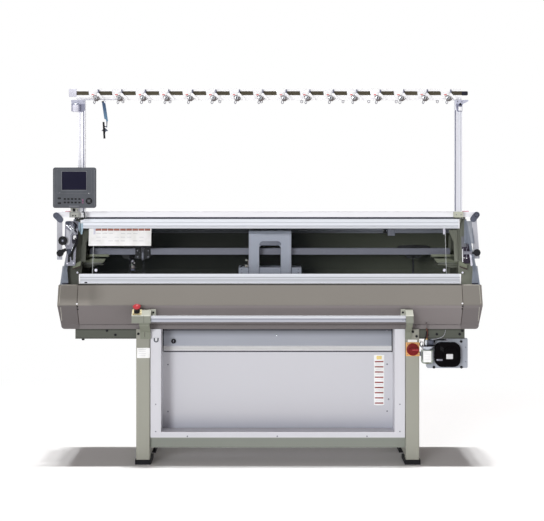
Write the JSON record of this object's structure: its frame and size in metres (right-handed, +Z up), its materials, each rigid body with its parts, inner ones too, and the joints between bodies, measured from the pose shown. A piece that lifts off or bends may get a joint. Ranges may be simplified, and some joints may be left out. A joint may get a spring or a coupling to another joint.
{
  "type": "flat knitting machine",
  "caption": "Flat knitting machine with two needle beds in a V, a travelling cam carriage under a hinged window, a yarn stand above and a leg stand below.",
  "frame": {"origin": "centre of the bounding box at floor level", "axes": "+X along the needle beds to the operator's right, +Y away from the operator, +Z up"},
  "size_m": [2.3604, 0.771, 2.078],
  "materials": {
    "hull_paint": "satin warm grey powder coat",
    "frame_paint": "grey-green enamel",
    "inner_olive": "olive enamel inside the ends",
    "wall_olive": "dark olive sheet",
    "side_shield": "thin smoky blue-grey shield",
    "blower_paint": "blue-grey enamel",
    "bracket_paint": "grey-green enamel",
    "panel_paint": "light grey powder coat",
    "flap_sheet": "brushed sheet",
    "rail_aluminium": "anodised extrusion",
    "clear_pane": "clear acrylic",
    "casting_iron": "machined and painted",
    "bed_steel": "ground needle plate",
    "carriage_paint": "light blue-grey enamel",
    "feeder_black": "black moulding",
    "channel_dark": "dark anodised",
    "cap_plastic": "slate moulding",
    "knob_white": "white knobs and clips",
    "trim": "strip and end caps",
    "tension_white": "white clip bodies with steel parts",
    "strap_blue": "blue-grey flat strap",
    "tool_black": "black",
    "bracket_steel": "pressed steel",
    "monitor_case": "dark grey case",
    "screen_glass": "screen",
    "foot_rubber": "black",
    "roller_rubber": "rubber covered roller",
    "latch_black": "black knob",
    "stop_red": "red mushroom head",
    "switch_yellow": "yellow plate",
    "switch_red": "red handle",
    "motor_black": "black motor paint",
    "regulator": "filter regulator",
    "hose_grey": "grey hose",
    "belt": "toothed belt, plain in form",
    "pulley": "turned"
  },
  "bodies": {
    "machine": {"left_leg_frame": "frame_paint", "right_leg_frame": "frame_paint", "foot_pads": "foot_rubber", "stand_beams": "frame_paint", "panel_frame": "panel_paint", "chute_panel": "panel_paint", "front_cover": "hull_paint", "rear_cover": "hull_paint", "end_covers": "hull_paint", "belly_pan": "hull_paint", "end_frames": "inner_olive", "side_covers": "side_shield", "needle_beds": "bed_steel", "bed_castings": "casting_iron", "carrier_rails": "rail_aluminium", "rail_brackets": "casting_iron", "back_wall": "wall_olive", "guide_beam": "channel_dark", "yarn_table": "panel_paint", "table_end_caps": "cap_plastic", "side_strips": "panel_paint", "stand_posts": "rail_aluminium", "stand_fittings": "rail_aluminium", "crossbeam": "rail_aluminium", "crossbeam_trim": "trim", "yarn_tension_units": "tension_white", "tool_strap": "strap_blue", "threading_tool": "tool_black", "monitor_neck": "bracket_paint", "side_tension_brackets": "bracket_steel", "estop_bracket": "bracket_paint", "right_bar_bracket": "bracket_paint", "yellow_plates": "switch_yellow", "blower_plate": "blower_paint", "blower_motor": "motor_black", "air_regulator": "regulator", "air_hose": "hose_grey", "drive_belt": "belt", "drive_motor": "motor_black"},
    "carriage": {"cam_boxes": "carriage_paint", "carriage_bridge": "carriage_paint"},
    "window": {"window_rails": "rail_aluminium", "window_pane": "clear_pane", "pane_fixings": "knob_white"},
    "flap": {"takedown_flap": "flap_sheet"},
    "latch": {"flap_latch": "latch_black"},
    "roller": {"takedown_roller": "roller_rubber"},
    "monitor": {"monitor_housing": "monitor_case", "monitor_screen": "screen_glass"},
    "tension_knob": {"left_tension_knob": "tool_black"},
    "lever_left": {"left_lever": "tool_black"},
    "lever_right": {"right_lever": "tool_black"},
    "stop_button": {"estop_button": "stop_red"},
    "bar": {"start_bar": "rail_aluminium"},
    "main_switch": {"switch_handle": "switch_red"},
    "feeder_1": {"feeder_front": "feeder_black"},
    "feeder_2": {"feeder_second": "feeder_black"},
    "feeder_3": {"feeder_rear": "feeder_black"},
    "pulley_drive": {"drive_pulley": "pulley"},
    "pulley_idler": {"idler_pulley": "pulley"}
  },
  "joints": [
    {"name": "carriage_travel", "type": "slide", "parent": "machine", "child": "carriage", "axis": [1, 0, 0], "range_m": [-0.8, 0.8]},
    {"name": "drive_pulley_turn", "type": "hinge", "parent": "machine", "child": "pulley_drive", "pos_m": [-0.96558, 0.17346, 0.88], "axis": [0, 1, 0], "range_deg": [-1224, 1224]},
    {"name": "idler_pulley_turn", "type": "hinge", "parent": "machine", "child": "pulley_idler", "pos_m": [1.00442, 0.17346, 0.88], "axis": [0, 1, 0], "range_deg": [-1224, 1224]},
    {"name": "feeder_1_slide", "type": "slide", "parent": "machine", "child": "feeder_1", "axis": [1, 0, 0], "range_m": [-0.146, 1.574]},
    {"name": "feeder_2_slide", "type": "slide", "parent": "machine", "child": "feeder_2", "axis": [1, 0, 0], "range_m": [-0.07, 1.65]},
    {"name": "feeder_3_slide", "type": "slide", "parent": "machine", "child": "feeder_3", "axis": [1, 0, 0], "range_m": [-1.669, 0.051]},
    {"name": "window_lift", "type": "hinge", "parent": "machine", "child": "window", "pos_m": [0.01942, -0.16654, 1.342], "axis": [-1, 0, 0], "range_deg": [0, 80]},
    {"name": "flap_lift", "type": "hinge", "parent": "machine", "child": "flap", "pos_m": [0.01942, -0.08454, 0.737], "axis": [-1, 0, 0], "range_deg": [0, 60]},
    {"name": "latch_turn", "type": "hinge", "parent": "flap", "child": "latch", "pos_m": [-0.52058, -0.08454, 0.665], "axis": [0, 1, 0], "range_deg": [0, 90]},
    {"name": "roller_turn", "type": "hinge", "parent": "machine", "child": "roller", "pos_m": [0.01942, 0.02546, 0.7], "axis": [1, 0, 0], "continuous": true},
    {"name": "monitor_tilt", "type": "hinge", "parent": "machine", "child": "monitor", "pos_m": [-1.05658, -0.27454, 1.436], "axis": [-1, 0, 0], "range_deg": [-10, 15]},
    {"name": "tension_knob_turn", "type": "hinge", "parent": "machine", "child": "tension_knob", "pos_m": [-1.12158, -0.23219, 1.233], "axis": [0, 1, 0], "continuous": true},
    {"name": "lever_left_turn", "type": "hinge", "parent": "machine", "child": "lever_left", "pos_m": [-1.10858, -0.24559, 1.183], "axis": [0, 1, 0], "range_deg": [-30, 30]},
    {"name": "lever_right_turn", "type": "hinge", "parent": "machine", "child": "lever_right", "pos_m": [1.13742, -0.25015, 1.166], "axis": [0, 1, 0], "range_deg": [-30, 30]},
    {"name": "stop_press", "type": "slide", "parent": "machine", "child": "stop_button", "axis": [0, -0.5265, 0.8502], "range_m": [-0.004, 0]},
    {"name": "bar_turn", "type": "hinge", "parent": "machine", "child": "bar", "pos_m": [0.01942, -0.35454, 0.812], "axis": [1, 0, 0], "range_deg": [-15, 15], "stiffness_Nm_per_rad": 4},
    {"name": "switch_turn", "type": "hinge", "parent": "machine", "child": "main_switch", "pos_m": [0.80492, -0.24154, 0.635], "axis": [0, 1, 0], "range_deg": [0, 90]}
  ],
  "couplings": [
    {"joint": "drive_pulley_turn", "follows": "carriage_travel", "rad_per_m": 26.667},
    {"joint": "idler_pulley_turn", "follows": "carriage_travel", "rad_per_m": 26.667}
  ]
}
